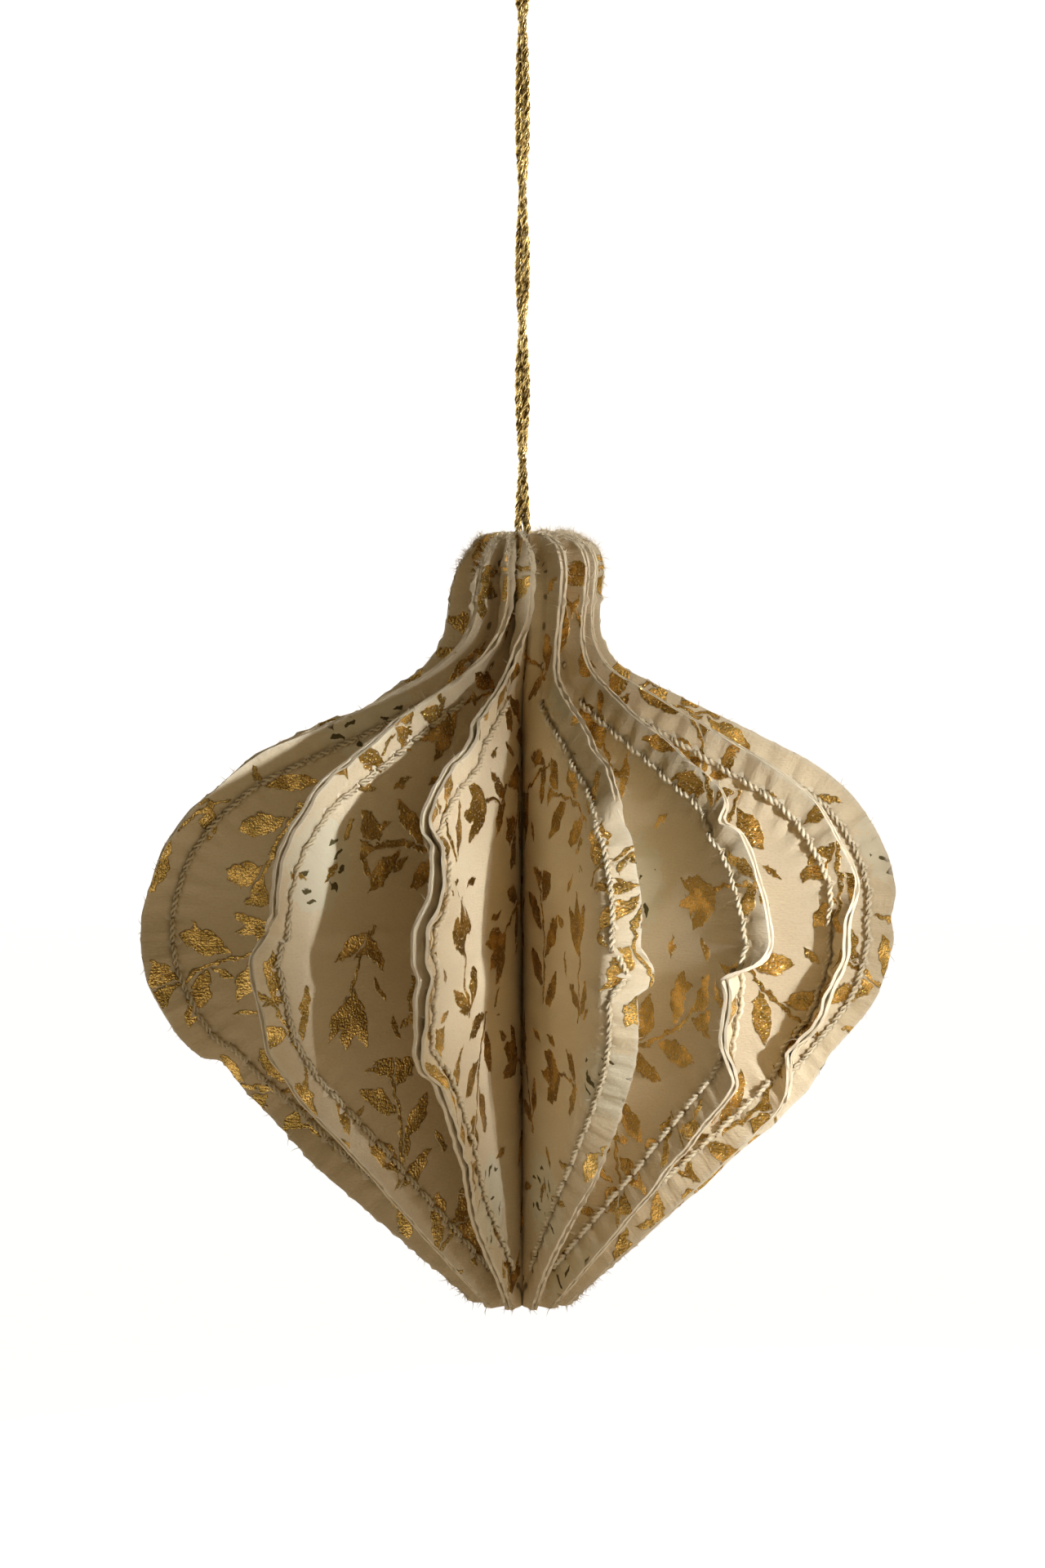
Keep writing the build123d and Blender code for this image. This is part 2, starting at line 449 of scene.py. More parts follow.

# %% [markdown]
# ## How each fin bends
# Two neighbouring halves lie back to back and make one fin, so everything that bends the fin bends
# both of them: slow waves, notches where the rim was pinched, and the outer strip beyond the seam
# that hangs over to one side. The fins that face the viewer are shaped one by one from keys at
# heights along the rim. The others get seeded waves of the same size.

# %% Fins and their keys
# Each fin has its degrees round the axis at the belly and at the neck. By height it may have how far
# in from the rim its outer strip creases, how far that strip hangs over in degrees, and how far the
# rim strays sideways, is pinched inwards and opens to its left sheet, in millimetres. The named lists
# are pinches that several fins share, at the top of the neck and on the left shoulder.
NECK_SLUMP = [(-99, 0.0), (-94, 0.5), (-90, 1.8), (-86, 3.4)]
NECK_FLARE = [(-96, 0.0), (-91, -0.7), (-88, -0.8), (-86, 0.2)]
LEFT_SHOULDER = [
    (-103, 0.0), (-106, 0.75), (-108.4, 1.25), (-111, 0.6), (-113.5, 0.2), (-116, 0.5), (-119, 0.9),
    (-122, 0.5), (-127, 0.0),
]
FIN_KEYS = [
    dict(belly=-104, neck=-80, pinch=NECK_SLUMP + LEFT_SHOULDER),
    dict(belly=-82, neck=-38, pinch=NECK_SLUMP + LEFT_SHOULDER + [
        (-132, 0.0), (-137, -0.8), (-145, -1.2), (-150, -0.4), (-156, 0.6), (-157.5, 2.2), (-160, 1.6),
        (-170, 0.0),
    ]),
    dict(
        belly=-42, neck=-18,
        crease=[(-86, 1.9), (-95, 1.7), (-101, 1.5), (-107, 4.7)],
        hang=[
            (-86, 45), (-95, 55), (-100, 30), (-104, 0), (-108, 0), (-114, 8), (-126, 12), (-132.5, 20),
            (-136, -44), (-139, -16), (-150, -14), (-160, 0),
        ],
        stray=[(-130, 0.0), (-136.5, 0.8), (-139, -0.6), (-143, 0.0)],
        pinch=[(-98, 0.0), (-90, 1.0), (-86, 1.8), (-132, 0.0), (-135.5, 2.6), (-138.5, 0.2), (-141, 0.0)],
    ),
    dict(
        belly=-15, neck=-4,
        crease=[(-86, 2.5), (-95, 2.1), (-101, 1.7), (-107, 4.7)],
        hang=[(-86, 62), (-92, 68), (-97, 56), (-101, 22), (-105, 0), (-130, 3), (-180, 0)],
        stray=[
            (-102, 0.0), (-105.5, 0.8), (-109.5, 0.4), (-111, 1.1), (-113, 0.4), (-114.4, -0.3), (-117, -0.8),
            (-119.8, -1.4), (-121.2, -1.1), (-122.8, 0.9), (-125.5, 1.7), (-129, 2.0), (-131.3, 1.5),
            (-133.4, 0.6), (-138, 0.7), (-139.7, 1.5), (-142.7, 0.7), (-146.4, -0.2), (-149.8, -0.9),
            (-152.5, -0.6), (-154.5, 0.6), (-157, 1.4), (-160.3, 1.2), (-168, 0.8), (-177, -0.3), (-185, 0.0),
        ],
        pinch=[
            (-96, 0.0), (-86, 0.6), (-120, 0.0), (-122, 0.9), (-124, 0.0), (-138.5, 0.0), (-139.7, 0.7),
            (-141, 0.0), (-152, 0.0), (-154, 1.0), (-156, 0.0),
        ],
        left_lip=[(-117, 0.1), (-121, 0.6), (-130, 1.4), (-140, 1.3), (-146, 0.6), (-151, 0.1)],
    ),
    dict(
        belly=13, neck=30,
        crease=[(-136.5, 4.7), (-138.2, 6.2), (-141.4, 6.4), (-143, 4.8)],
        hang=[
            (-104, 0), (-107.5, 34), (-110.6, 42), (-111.8, 26), (-117.6, 28), (-118.8, 80), (-128, 84),
            (-160, 72), (-168, 45), (-178, 20), (-185, 0),
        ],
        stray=[
            (-108, 0.0), (-111, 0.4), (-114, 1.3), (-117.4, 1.4), (-118.6, -0.3), (-121, 0.0), (-137, 0.0),
            (-138.6, 0.5), (-142, 0.4), (-143.4, -0.5), (-147, 0.0),
        ],
        pinch=NECK_FLARE + [
            (-117, 0.0), (-118, 1.3), (-119.2, 0.0), (-137.2, 0.0), (-138, 0.9), (-139, 0.0), (-142, 0.0),
            (-143, 1.4), (-144.4, 0.0),
        ],
    ),
    dict(
        belly=38, neck=52,
        crease=[(-110, 2.4), (-138, 2.4), (-141, 4.4)],
        hang=[
            (-108, 0), (-113, 22), (-119, 30), (-120.6, -16), (-122, 16), (-130, 18), (-137, 16),
            (-138.6, -10), (-140.4, -60), (-150, -54), (-155, 0),
        ],
        stray=[
            (-117, 0.0), (-120.5, -0.8), (-126, -0.5), (-136, 0.2), (-141, -0.7), (-147, -0.5), (-154, 0.0),
        ],
        pinch=NECK_FLARE + [
            (-119, 0.0), (-120.6, 1.0), (-122, 0.0), (-139, 0.0), (-140.6, 1.5), (-143, 0.0),
        ],
    ),
    dict(
        belly=62, neck=64,
        hang=[(-130, 0), (-135, -34), (-146, -52), (-156, -42), (-161, 0)],
        pinch=NECK_FLARE + [(-140, 0.0), (-150, 1.2), (-155.5, 3.0), (-159, 0.5), (-165, 0.0)],
    ),
    dict(
        belly=88, neck=84,
        hang=[(-100, 0), (-120, 6), (-140, -6), (-160, 8), (-180, 0)],
        pinch=NECK_FLARE + [(-134, 0.0), (-137, 1.0), (-140, 0.4), (-150, 1.2), (-157, 2.2), (-161, 0.0)],
    ),
] + [
    dict(belly=88 + 28 * step, neck=84 + 33 * step, pinch=NECK_SLUMP + LEFT_SHOULDER if step > 2 else ())
    for step in range(1, 6)
]
CREASE_INSET = 4.7
TWIST_FOOT, TWIST_TOP = -110.0, -95.0
print("fins shaped by hand", sum("hang" in keys for keys in FIN_KEYS))

# %% Bends along the rim
FIN_SEED = 40
SHOULDER, SHOULDER_FADE = -104, 10
TIP, TIP_FADE = -186, 22
NECK_FOOT, NECK_FADE = -106, 4
LEAST_WAVE = 0.25

# Length and strength of the seeded waves, the second of a pair for fins that are given hang keys
HANG_WAVE = (30, 13)
SLOW_WAVES = (34, 0.9), (34, 0.2)
QUICK_WAVES = (9.5, 0.28), (9.5, 0.16)
PULL_WAVE = (21, 0.22)
LIP_WAVE, LIP_GAP = (11, 0.16), 0.1
HEIGHTS = rim[:, 1]


def smooth_share(values):
    """0 below 0, 1 above 1, with soft ends."""
    values = np.clip(values, 0, 1)
    return values * values * (3 - 2 * values)


def keyed(keys, blur):
    """Values along the rim from keys by height, blurred over a length in millimetres."""
    if not keys:
        return np.zeros(len(rim))
    heights, values = zip(*sorted(keys))
    line = np.interp(HEIGHTS, heights, values)
    reach = int(3 * blur / RIM_STEP)
    weights = np.exp(-0.5 * (np.arange(-reach, reach + 1) * RIM_STEP / blur) ** 2)
    return np.convolve(np.pad(line, reach, mode="edge"), weights / weights.sum(), mode="valid")


def seeded_wave(draw, length, strength):
    """A wave along the rim that never quite repeats."""
    total = np.zeros(len(rim))
    for _ in range(4):
        stretch = length * draw.uniform(0.7, 1.5)
        total += np.sin(2 * math.pi * (rim_along / stretch + draw.uniform()))
    return strength * total / 2


class Fin:
    """The bends that both sheets of one fin share, calmer at the neck and at the tip."""

    def __init__(self, index, belly, neck, crease=(), hang=(), stray=(), pinch=(), left_lip=()):
        draw = np.random.default_rng(FIN_SEED + index)
        self.belly, self.neck = math.radians(belly), math.radians(neck)
        by_hand = bool(hang)
        below_neck = smooth_share((SHOULDER - HEIGHTS) / SHOULDER_FADE)
        above_tip = smooth_share((HEIGHTS - TIP) / TIP_FADE)
        calm = LEAST_WAVE + (1 - LEAST_WAVE) * below_neck * above_tip
        self.crease = keyed(crease, blur=0.4) if crease else np.full(len(rim), CREASE_INSET)
        in_neck = smooth_share((HEIGHTS - NECK_FOOT) / NECK_FADE) if by_hand else 0
        degrees = keyed(hang, blur=0.7) if by_hand else seeded_wave(draw, *HANG_WAVE)
        self.hang = np.radians(degrees) * np.maximum(calm, in_neck)
        self.slow = seeded_wave(draw, *SLOW_WAVES[by_hand]) * calm + keyed(stray, blur=0.6)
        self.quick = seeded_wave(draw, *QUICK_WAVES[by_hand]) * calm
        self.pull = keyed(pinch, blur=0.4) + np.abs(seeded_wave(draw, *PULL_WAVE)) * calm
        self.lips = [LIP_GAP * calm + np.abs(seeded_wave(draw, *LIP_WAVE)) * calm for _ in (0, 1)]
        self.lips[0] += keyed(left_lip, blur=1.0)

    def angle(self, height):
        turn = smooth_share((height - TWIST_FOOT) / (TWIST_TOP - TWIST_FOOT))
        return self.belly + (self.neck - self.belly) * turn


fins = [Fin(index, **keys) for index, keys in enumerate(FIN_KEYS)]
print("fins", len(fins))

# %% [markdown]
# ## From flat sheet to fin
# One function says where any point of a sheet ends up, from its place on the flat sheet: how far
# out from the axis, how high, and how near the rim. The wall leaves its fold along the valley,
# swells towards its fin and is pressed onto its neighbour at the seam. The same function places the
# stitches later, so thread and paper always meet. Lengths are in millimetres.

# %% Rule of the wall
PAPER = 0.4
SEAM_INSET = 3.7
STITCH_PITCH = 3.7
SEAM_TOP = -103.0
FIRST_HOLE = 4.0
FOLD_OUTSIDE = 0.5
BEND_RADIUS = 40.0
seam_line = rim + SEAM_INSET * rim_inward
widest_run = seam_line[:, 0].max() - FOLD_RADIUS


def wall_gap(radius, height, half_valley, fold):
    """Gap between a wall and the middle of its fin: an arc away from the valley, then one back."""
    closing = np.maximum(np.interp(height, seam_line[:, 1], seam_line[:, 0]), fold + 2)
    bend = BEND_RADIUS * (closing - fold) / widest_run
    start = fold * np.cos(half_valley) + FOLD_OUTSIDE * np.sin(half_valley)
    start_gap = np.maximum(fold * np.sin(half_valley) - FOLD_OUTSIDE * np.cos(half_valley), 0)
    run = closing - start - bend * np.sin(half_valley)
    past = 2 * np.arctan2(start_gap + bend * (1 - np.cos(half_valley)), run)
    back = run / np.sin(past) - bend
    lean = np.clip((radius - start) / bend - np.sin(half_valley), -np.sin(half_valley), np.sin(past))
    first = start_gap + bend * (np.sqrt(1 - lean ** 2) - np.cos(half_valley))
    left = np.clip(closing - radius, 0, back * np.sin(past))
    second = back - np.sqrt(back ** 2 - left ** 2)
    return np.where(radius < closing - back * np.sin(past), first, second)


# %% Place a point of a sheet
CREASE_SOFTNESS = 0.8
FOLD_GAP, LAYER_GAP = 0.12, 0.02
NECK_GAP, NECK_GAP_FOOT, NECK_GAP_FADE, NECK_GAP_REACH = 0.1, -100, 10, 6
PUCKER, PUCKER_REACH = 0.26, 2.8
GROOVE, GROOVE_REACH = 0.14, 0.7
SLOW_REACH, QUICK_REACH, PULL_REACH = 15, 5, 4.5
STIFF_FOLD = 9
LIP_FREE, LIP_SAG = 0.4, 0.75


def on_rim(values, along):
    return np.interp(along, rim_along, values)


def place(fin, side, half_valley, radius, height, along, inset, fold=FOLD_RADIUS, at_fold=False):
    """Where a point of a sheet lies, in millimetres, on the face that looks into its valley.

    side is +1 on the right face of the fin and -1 on its left face, and half_valley is the angle
    from the fin to the middle of that valley.
    """
    hang = on_rim(fin.hang, along)
    inward = [on_rim(rim_inward[:, axis], along) for axis in (0, 1)]
    past = on_rim(fin.crease, along) - inset
    length = np.sqrt(past ** 2 + CREASE_SOFTNESS ** 2)
    strip = (past + length) / 2
    tilt = hang * (1 + past / length) / 2
    free = smooth_share((radius - FOLD_RADIUS) / STIFF_FOLD)
    sideways = strip * np.sin(hang) + on_rim(fin.slow, along) * np.exp(-inset / SLOW_REACH)
    sideways = (sideways + on_rim(fin.quick, along) * np.exp(-inset / QUICK_REACH)) * free
    pull = (strip * (1 - np.cos(hang)) + on_rim(fin.pull, along) * np.exp(-inset / PULL_REACH)) * free
    from_seam = inset - SEAM_INSET
    lip = on_rim(fin.lips[(side + 1) // 2], along) * np.maximum(1 - inset / SEAM_INSET, 0)
    in_neck = smooth_share((height - NECK_GAP_FOOT) / NECK_GAP_FADE)
    neck_gap = NECK_GAP * in_neck * np.exp(-inset / NECK_GAP_REACH)
    stitch_wave = np.cos(2 * math.pi * (along - FIRST_HOLE) / STITCH_PITCH)
    pucker = -PUCKER * stitch_wave * np.exp(-(from_seam / PUCKER_REACH) ** 2) * free
    groove = GROOVE * np.exp(-(from_seam / GROOVE_REACH) ** 2) * free
    wall = wall_gap(radius, height, half_valley, fold)
    layer = PAPER + LAYER_GAP + wall + lip + neck_gap + pucker - groove
    valley = radius * np.tan(half_valley)
    layer = np.where(at_fold, valley, np.minimum(layer, valley - FOLD_GAP)) * side
    if side < 0:
        pull = pull + LIP_SAG * np.maximum(lip - LIP_FREE, 0)
    sideways = sideways + layer * np.cos(tilt)
    pull = pull + layer * np.sin(tilt)
    radius = radius + pull * inward[0]
    angle = fin.angle(height)
    return np.stack(
        [
            radius * np.sin(angle) + sideways * np.cos(angle),
            -radius * np.cos(angle) + sideways * np.sin(angle),
            height + pull * inward[1],
        ],
        axis=-1,
    )


def half_valleys(left, right, height):
    """Half the angle between two neighbouring fins, by height."""
    return ((right.angle(height) - left.angle(height)) % (2 * math.pi)) / 2


def near_rim(index, side, along, depth):
    """Points at a depth in from the rim of a sheet, on its left fin for +1 and its right one for -1."""
    left, right = fins[index], fins[(index + 1) % len(fins)]
    radius = on_rim(rim[:, 0], along) + depth * on_rim(rim_inward[:, 0], along)
    height = on_rim(rim[:, 1], along) + depth * on_rim(rim_inward[:, 1], along)
    half = half_valleys(left, right, height)
    return place(left if side > 0 else right, side, half, radius, height, along, depth + 0 * along)


print("seam", SEAM_INSET, "mm in from the rim")

# %% [markdown]
# ## The print
# The cream paper carries a scattered print: sprigs, buds and small dashes in gold foil, and pale
# blossoms with olive strokes. An image texture would need a file, so the print is drawn with
# maths. The flat sheet is divided into cells, each cell turns its motif by its own seeded angle,
# and a leaf is simply the place where a point is nearer to its rib than a curved width allows. The
# foil's colour has patches of painted glint and painted dark reflection, and it is broken by wear.

# %% Shapes of the print
# Half length and half width of leaves and petals, in millimetres
SPRIG_LEAF, SPRIG_END_LEAF = (3.7, 1.45), (3.8, 1.6)
BUD_PETAL, BUD_SIDE_PETAL, BUD_LEAF = (4.0, 1.5), (3.9, 1.3), (3.1, 1.05)
LEAF_PITCH = 7.4
SPRIG_HALF_LENGTH, SPRIG_HALF_STEM, BUD_HALF_STEM = 8.8, 0.3, 0.28


def leaf_shape(across, along, half_length, half_width):
    """Below zero inside a leaf of that size that lies along its rib."""
    part = along / half_length
    return abs(across) - half_width * (1 - part * part)


def turned(across, along, degrees):
    """The same place, measured from a frame that is turned by an angle."""
    turn_cos, turn_sin = math.cos(math.radians(degrees)), math.sin(math.radians(degrees))
    return across * turn_cos - along * turn_sin, across * turn_sin + along * turn_cos


def sprig(across, along):
    """A curved stem with leaves by turns on both sides and one at its end."""
    across = across + 0.022 * (along * along) - 1.3
    stem = abs(across) - SPRIG_HALF_STEM
    on_side = along / LEAF_PITCH + 0.5 * (across > 0)
    beside = (on_side.rest() - 0.5) * LEAF_PITCH
    rib, away = turned(abs(across) - 3.1, beside, -46)
    leaf = leaf_shape(away, rib, *SPRIG_LEAF)
    shape = stem.least(leaf).most(abs(along) - SPRIG_HALF_LENGTH)
    return shape.least(leaf_shape(across, along - 9.6, *SPRIG_END_LEAF))


def bud(across, along):
    """Three petals on a stem with a pair of small leaves."""
    away = abs(across)
    shape = leaf_shape(across, along - 3.4, *BUD_PETAL)
    petal = leaf_shape(*turned(away - 1.6, along - 2.7, 28), *BUD_SIDE_PETAL)
    bent = across + 0.025 * (along * along) - 0.7
    stem = (abs(bent) - BUD_HALF_STEM).most(abs(along + 5) - 5)
    leaf = leaf_shape(*turned(away - 2.2, along + 6, 46), *BUD_LEAF)
    return shape.least(petal).least(stem).least(leaf)


def cells(place, width, height, shift):
    """Place in a cell of a staggered lattice, turned by a seeded angle, and the cell's number."""
    across, along, _ = place.parts()
    row = (along / height).floor()
    across = across + row * shift
    column = (across / width).floor()
    inside = place.node("ShaderNodeCombineXYZ", None, {
        0: across - (column + 0.5) * width, 1: along - (row + 0.5) * height,
    })
    cell = place.node("ShaderNodeCombineXYZ", None, {0: column, 1: row})
    chance = place.node("ShaderNodeTexWhiteNoise", {"noise_dimensions": "2D"}, {"Vector": cell}, 1)
    angle, number, _ = chance.parts()
    settings = {"rotation_type": "Z_AXIS"}
    spun = place.node("ShaderNodeVectorRotate", settings, {"Vector": inside, "Angle": angle * 6.283})
    return spun, number


# %% Printed paper
LINEN = (0.83, 0.735, 0.545)
LINEN_WARM = (0.79, 0.68, 0.48)
FIBRE_SHADE = (0.62, 0.50, 0.32)
BLOSSOM = (0.79, 0.75, 0.59)
OLIVE = (0.115, 0.095, 0.04)
# The foil's colour goes from a painted dark reflection to a painted glint
FOIL = (1.0, 0.64, 0.18)
FOIL_PAINTED_DARK = (0.50, 0.31, 0.072)
# Painted shade along the seam and in the needle holes
SEAM_PAINTED_SHADE = (0.36, 0.27, 0.15)
HOLE_SHADE = (0.16, 0.115, 0.06)
TORN_EDGE = (0.85, 0.79, 0.65)

# Width, height and stagger of the cells that hold motifs, strokes and dashes
MOTIF_CELL = (16.6, 17.6, 7.1)
STROKE_CELL = (2.5, 1.9, 0.8)
DASH_CELL = (6.3, 5.3, 2.9)

# Cells are shared out by their numbers: sprigs up to the first one, buds up to the second one and
# blossoms above it. The others are shares of the small cells that hold something.
SPRIGS_TO, BUDS_TO = 0.5, 0.78
STROKE_SHARE, DASH_SHARE = 0.55, 0.34

# Added to a shape where the cell holds another one
ELSEWHERE = 9

# Half length and half width of strokes and dashes, and the size of a blossom
STROKE_SIZE, DASH_SIZE = (1.0, 0.34), (1.8, 0.5)
BLOSSOM_RADIUS = 6.4

printed, wire, shader = new_material("printed_paper")
flat = wire.node("ShaderNodeUVMap", {"uv_map": "flat"})
edge = wire.node("ShaderNodeUVMap", {"uv_map": "edge"})
along_rim, inset, _ = edge.parts()
shake = flat.noise(0.55, 3.0, 1).vector("SUBTRACT", (0.5, 0.5, 0.5)).vector("MULTIPLY", (2.2, 2.2, 0))
shaken = flat.vector("ADD", shake)
spun, kind = cells(shaken, *MOTIF_CELL)
across, along, _ = spun.parts()
sprigs = sprig(across, along) + ELSEWHERE * (kind > SPRIGS_TO)
buds = bud(across, along) + ELSEWHERE * (1 - (kind > SPRIGS_TO) * (kind < BUDS_TO))
reach = wire.node("ShaderNodeVectorMath", {"operation": "LENGTH"}, {0: spun}, 1)
grain = flat.noise(1.1, 3.0)
blossom = ((BLOSSOM_RADIUS + 6 * (grain - 0.5)) - reach).ramp(-0.15, 0.15) * (kind > BUDS_TO)
speck, speck_kind = cells(shaken, *STROKE_CELL)
speck_across, speck_along, _ = speck.parts()
strokes = (0 - leaf_shape(speck_across, speck_along, *STROKE_SIZE)).ramp(-0.05, 0.05)
strokes = strokes * blossom * (speck_kind < STROKE_SHARE) * (reach < 5.4) * (reach > 1.6)
small, small_kind = cells(shaken, *DASH_CELL)
small_across, small_along, _ = small.parts()
dashes = leaf_shape(small_across, small_along, *DASH_SIZE) + ELSEWHERE * (small_kind > DASH_SHARE)
foil = (0 - sprigs.least(buds).least(dashes)).ramp(-0.08, 0.08)
worn = flat.noise(3.2, 3.0)
# Patches of painted glint in the foil's colour, painted dark reflection elsewhere
painted_glint = flat.noise(0.32, 3.0).ramp(0.46, 0.62)
foil = foil * worn.ramp(0.35, 0.39)
print("motifs in cells of", MOTIF_CELL[0], "by", MOTIF_CELL[1], "mm")

# %% [markdown]
# Under the print lie fibres and slow changes of tone. Each needle hole at the end of a stitch is a
# dark dot of painted shade, a band of painted shade runs along the seam, and the cut edge is paler
# where it frays.
# Two bumps finish the paper: broad crumples that gather towards the rim, and its fine grain.

# %% Fibres, seam and bumps
CRUMPLE_DEPTH, GRAIN_DEPTH = 0.0007, 0.00018
tone = flat.noise(0.07, 3.0)
paper = tone.ramp(0.35, 0.7).mix(LINEN, LINEN_WARM)
fibres = flat.vector("MULTIPLY", (2.2, 4.2, 1)).noise(1.0, 3.0)
paper = (0.4 * fibres.ramp(0.45, 0.8)).mix(paper, FIBRE_SHADE)
paper = (blossom * 0.85).mix(paper, BLOSSOM)
paper = strokes.mix(paper, OLIVE)
hole_along = (((along_rim - FIRST_HOLE) / STITCH_PITCH + 0.5).rest() - 0.5) * STITCH_PITCH
hole_inset = inset - SEAM_INSET
hole = (0.26 - (hole_along * hole_along + hole_inset * hole_inset)).ramp(0, 0.2)
# painted shade: a darker band along the seam
painted_seam_shade = 1 - abs(hole_inset).ramp(0.3, 0.9)
foil = foil * (1 - hole)
paper = (painted_seam_shade * 0.25).mix(paper, SEAM_PAINTED_SHADE)
# painted shade in each needle hole
paper = (hole * 0.85).mix(paper, HOLE_SHADE)
frayed = (0.35 + grain * 0.5 - inset).ramp(0, 0.35)
paper = (frayed * 0.6).mix(paper, TORN_EDGE)
gathers = edge.vector("MULTIPLY", (0.62, 0.13, 1)).noise(1.0, 3.0) * (1 - inset.ramp(1, 12))
crumple = 0.6 * gathers + 0.4 * flat.noise(0.3, 4.0) * (1 - 0.65 * inset.ramp(0, 18))
bump = wire.node("ShaderNodeBump", None, {"Strength": 1.0, "Distance": CRUMPLE_DEPTH, "Height": crumple})
laid = flat.vector("MULTIPLY", (0.5, 6.0, 1)).noise(0.7, 2.0)
leafing = flat.noise(0.22, 3.0) * 7 + flat.noise(0.9, 3.0) * 1.6 + worn * 4.2 + laid * 1.2
fine = grain * 0.4 + laid * 0.3 + fibres * 0.5 + leafing * foil
bump = wire.node("ShaderNodeBump", None, {
    "Strength": 0.7, "Distance": GRAIN_DEPTH, "Height": fine, "Normal": bump,
})
feed(
    shader,
    # Foil colour mixes painted glints and painted dark reflections
    Base_Color=foil.mix(paper, painted_glint.mix(FOIL_PAINTED_DARK, FOIL)),
    Metallic=foil,
    Roughness=0.86 - foil * (0.58 + 0.26 * worn),
    Specular_IOR_Level=0.2,
    Normal=bump,
)
print("nodes in the print", len(printed.node_tree.nodes))

# %% [markdown]
# The back of the sheets and their cut edges are bare: warm cream pulp with a soft fibrous grain.

# %% Plain paper
PULP, PULP_SHADE = (0.85, 0.78, 0.63), (0.77, 0.68, 0.51)
plain, wire, shader = new_material("plain_paper")
pulp = wire.node("ShaderNodeTexCoord", None, None, "Object").noise(900.0, 4.0)
bump = wire.node("ShaderNodeBump", None, {"Strength": 0.6, "Distance": 0.00015, "Height": pulp})
feed(
    shader,
    Base_Color=pulp.ramp(0.3, 0.7).mix(PULP_SHADE, PULP),
    Roughness=0.9,
    Specular_IOR_Level=0.2,
    Normal=bump,
)
print("finish:", plain.name)

# %% [markdown]
# ## The sheets
# Each sheet is a closed shell of real thickness: a fine grid on the printed side, a coarser one on
# the plain side, and strips that close the rims and the two ends.

# %% Build the sheets
FOLD_CLEARANCE = 0.56
PRINT_SEED, PRINT_SHIFT = 90, 400
fold_spots = np.zeros((ROWS, COLUMNS + 1), dtype=bool)
fold_spots[:, -1] = True
toward_fold = np.broadcast_to(share[..., 0], (ROWS, COLUMNS + 1))


def fold_radius(index, height):
    """Distance of a fold from the axis, so that it stays clear of the folds beside it."""
    middles = []
    for near in (index - 1, index, index + 1):
        left, right = fins[near % len(fins)], fins[(near + 1) % len(fins)]
        middles.append(left.angle(height) + half_valleys(left, right, height))
    gaps = [(middles[1] - middles[0]) % (2 * math.pi), (middles[2] - middles[1]) % (2 * math.pi)]
    return np.maximum(FOLD_RADIUS, FOLD_CLEARANCE / np.tan(np.minimum(*gaps) / 2))


def sheet_points(index):
    """Printed side of a sheet as a grid of points, from its left rim over the fold to its right rim."""
    left, right = fins[index], fins[(index + 1) % len(fins)]
    height = grid[..., 1]
    fold = fold_radius(index, height)
    radius = grid[..., 0] + (fold - FOLD_RADIUS) * toward_fold
    half = half_valleys(left, right, height)
    sides = [
        place(fin, side, half, radius, height, grid_along, grid_inset, fold, fold_spots)
        for fin, side in ((left, 1), (right, -1))
    ]
    middle = (sides[0][:, -1:] + sides[1][:, -1:]) / 2
    return np.concatenate([sides[0][:, :-1], middle, sides[1][:, -2::-1]], axis=1)


def quads(block):
    """Faces of a grid of vertex numbers."""
    return np.stack([block[:-1, :-1], block[:-1, 1:], block[1:, 1:], block[1:, :-1]], axis=-1).reshape(-1, 4)


def build_sheet(index):
    """One folded sheet as a closed piece with its two UV maps."""
    front = sheet_points(index)
    rows, columns = front.shape[:2]
    normal = unit(np.cross(np.gradient(front, axis=1), np.gradient(front, axis=0)))
    back = (front - PAPER * normal)[:, ::2]
    front_at = np.arange(rows * columns).reshape(rows, columns)
    back_at = rows * columns + np.arange(back.shape[0] * back.shape[1]).reshape(back.shape[:2])
    faces = quads(front_at).tolist()
    printed_count = len(faces)
    faces += quads(back_at)[:, ::-1].tolist()
    for column, flip in ((0, True), (-1, False)):
        strip = np.stack([front_at[:, column], back_at[:, column]], axis=1)
        faces += (quads(strip)[:, ::-1] if flip else quads(strip)).tolist()
    for row, flip in ((0, False), (-1, True)):
        for step in range(back.shape[1] - 1):
            a, b, c = front_at[row, 2 * step:2 * step + 3].tolist()
            d, e = back_at[row, step:step + 2].tolist()
            for face in ((a, b, d), (b, e, d), (b, c, e)):
                faces.append(face[::-1] if flip else face)
    points = np.concatenate([front.reshape(-1, 3), back.reshape(-1, 3)])
    piece = mesh_object(f"paper_sheet_{index + 1:02d}", points, faces, printed)
    piece.data.materials.append(plain)
    slots = np.ones(len(faces), dtype=np.int32)
    slots[:printed_count] = 0
    piece.data.polygons.foreach_set("material_index", slots)
    piece.data.set_sharp_from_angle(angle=math.radians(60))
    across = np.concatenate([-grid[..., 0], grid[:, -2::-1, 0]], axis=1)
    flat = np.stack([across, np.concatenate([grid[..., 1], grid[:, -2::-1, 1]], axis=1)], axis=-1)
    flat = flat + np.random.default_rng(PRINT_SEED + index).uniform(0, PRINT_SHIFT, 2)
    edge = np.stack([
        np.concatenate([values, values[:, -2::-1]], axis=1) for values in (grid_along, grid_inset)
    ], axis=-1)
    for name, values in (("flat", flat), ("edge", edge)):
        set_uv(piece.data, name, np.concatenate([values.reshape(-1, 2), values[:, ::2].reshape(-1, 2)]))
    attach(piece, "root")
    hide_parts(f"paper_leaf_{index + 1:02d}")
    return piece


sheets = [build_sheet(index) for index in range(len(fins))]
print("sheet faces", len(sheets[0].data.polygons))
